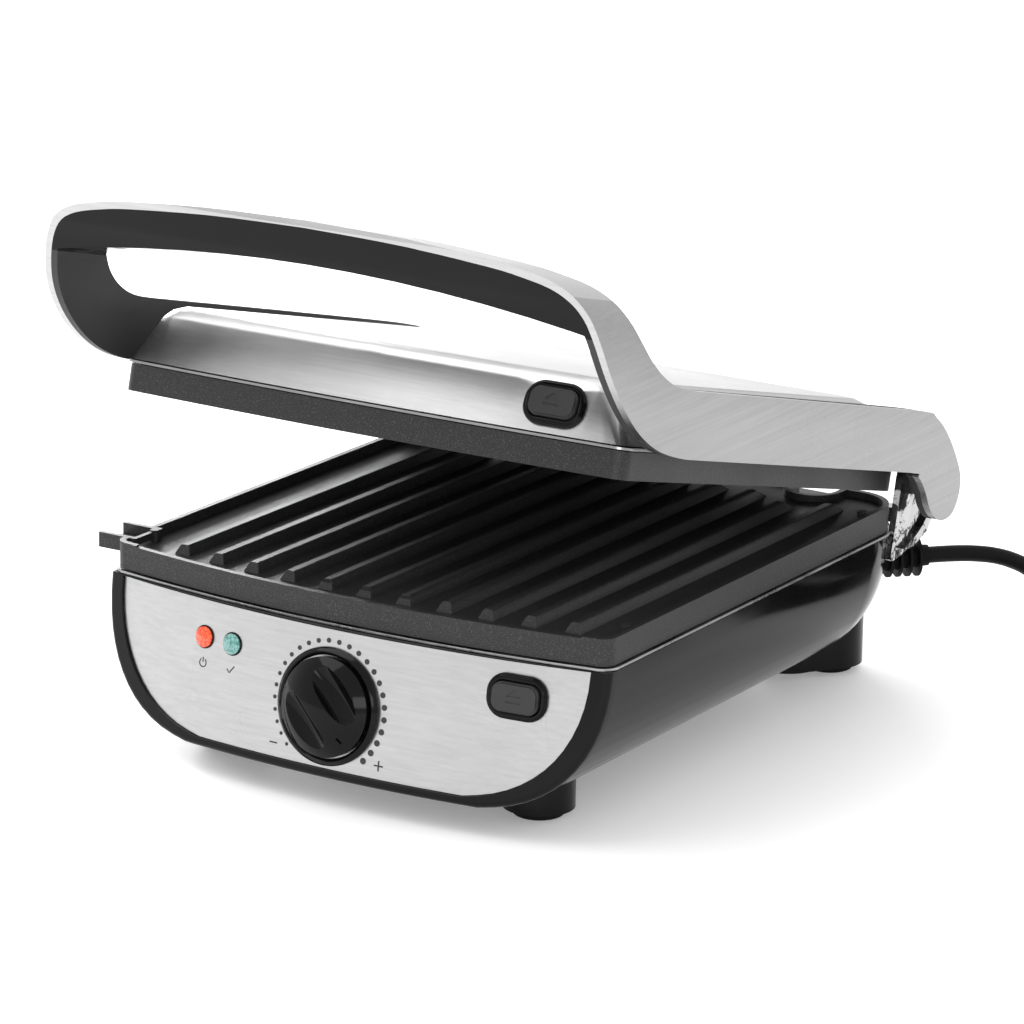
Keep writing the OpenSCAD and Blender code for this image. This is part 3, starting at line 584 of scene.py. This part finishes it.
def make_tie():
    """A flat band round all the coil's turns, at one place."""
    out = Vector((math.cos(TIE_AT), math.sin(TIE_AT), 0))
    along = Vector((-out.y, out.x, 0))
    centre = Vector((*COIL_AT, 0)) + COIL_R * out
    r, n = CORD_D / 2 + 0.5, 10
    over = [math.pi * (i / n - 0.5) for i in range(n + 1)]
    under = [math.pi * i / n for i in range(n + 1)]
    loop = [(r * math.sin(t), TIE_TOP - r + r * math.cos(t)) for t in over]
    loop += [(r * math.cos(t), r - 0.45 - r * math.sin(t)) for t in under]
    m = len(loop)
    rings = ((-TIE_HALF_W, 0.0), (-TIE_HALF_W, TIE_T), (TIE_HALF_W, TIE_T), (TIE_HALF_W, 0.0))
    verts, faces = [], []
    for w, grow in rings:
        for x, z in loop:
            height = max(z + (grow if z > TIE_TOP / 2 else 0), 0.0)
            flat = centre + along * w + out * x * (1 + grow / r)
            verts.append(Vector((flat.x, flat.y, height)) * MM)
    for k in range(len(rings)):
        here, there = k * m, (k + 1) % len(rings) * m
        faces += [[here + i, here + (i + 1) % m, there + (i + 1) % m, there + i] for i in range(m)]
    finish_edges(piece("cord_tie", verts, faces, "satin_black", "base"), 0.15)


make_tie()

# ---- the glossiest black parts ------------------------------------------------------------
for name in ("knob", "dial_ring", "release_bezel_lower", "release_bezel_upper"):
    paint(nodes[name], LOOKS["gloss_deep"])
paint(bezel, LOOKS["gloss_deep"])


# ---- stage ----------------------------------------------------------------------------
FLOOR_HALF = 6
FLOOR_GLOW = 0.22                               # keeps the shadow on the pale floor light
MIDDLE = (0, 0, 0.1)
LIGHTS = {                                      # place, aimed at, size and power
    "key": ((-0.5, 0.4, 1.9), MIDDLE, (1.6, 1.4), 7),
    "rake": ((-1.4, 0.95, 0.42), (0, -0.02, 0.08), (1.2, 0.5), 22),
    "fill": ((1.3, -2.0, 0.6), (0, 0, 0.08), (1.0, 0.6), 7),
    "lid_light": ((-0.65, -0.5, 1.5), MIDDLE, (1.3, 1.1), 11),
}
DIM_SIDE = (-0.35, -0.72, 0.6)                  # a ring round this way is a little darker
SKY = [(0.35, 1.0), (0.8, 0.9), (1.0, 1.0)]     # cosine of the angle from that way, and how bright


def make_floor():
    data = bpy.data.meshes.new("floor")
    corners = [(x * FLOOR_HALF, y * FLOOR_HALF, 0) for x, y in ((-1, -1), (1, -1), (1, 1), (-1, 1))]
    data.from_pydata(corners, [], [(0, 1, 2, 3)])
    floor = bpy.data.objects.new("floor", data)
    bpy.context.scene.collection.objects.link(floor)
    look = Look("floor", Roughness=0.6, Emission_Color=(1, 1, 1, 1), Emission_Strength=FLOOR_GLOW)
    cloud = look.noise(look.coords, 3.0)
    look.set(Base_Color=look.ramp(cloud, [(0.3, grey(0.9)), (0.7, grey(0.93))]))
    paint(floor, look.mat)


def area_light(name, at, aim, size, power):
    data = bpy.data.lights.new(name, "AREA")
    data.shape = "RECTANGLE"
    data.size, data.size_y = size
    data.energy = power
    o = bpy.data.objects.new(name, data)
    bpy.context.scene.collection.objects.link(o)
    o.location = at
    o.rotation_euler = (Vector(aim) - Vector(at)).to_track_quat("-Z", "Y").to_euler()


def make_light():
    """White surroundings with a slightly darker ring, and soft lamps."""
    world = bpy.data.worlds.new("studio")
    bpy.context.scene.world = world
    world.use_nodes = True
    tree = world.node_tree
    where = tree.nodes.new("ShaderNodeTexCoord").outputs["Generated"]
    dot = tree.nodes.new("ShaderNodeVectorMath")
    dot.operation = "DOT_PRODUCT"
    tree.links.new(where, dot.inputs[0])
    dot.inputs[1].default_value = Vector(DIM_SIDE).normalized()
    ramp = tree.nodes.new("ShaderNodeValToRGB")
    ramp.color_ramp.elements.new(0.5)
    for e, (at, v) in zip(ramp.color_ramp.elements, SKY):
        e.position = at
        e.color = (*grey(v), 1)
    tree.links.new(dot.outputs["Value"], ramp.inputs["Fac"])
    tree.links.new(ramp.outputs["Color"], tree.nodes["Background"].inputs["Color"])
    tree.nodes["Background"].inputs["Strength"].default_value = 1.0
    for name, setting in LIGHTS.items():
        area_light(name, *setting)


make_floor()
make_light()
bpy.context.scene.view_settings.view_transform = "Standard"
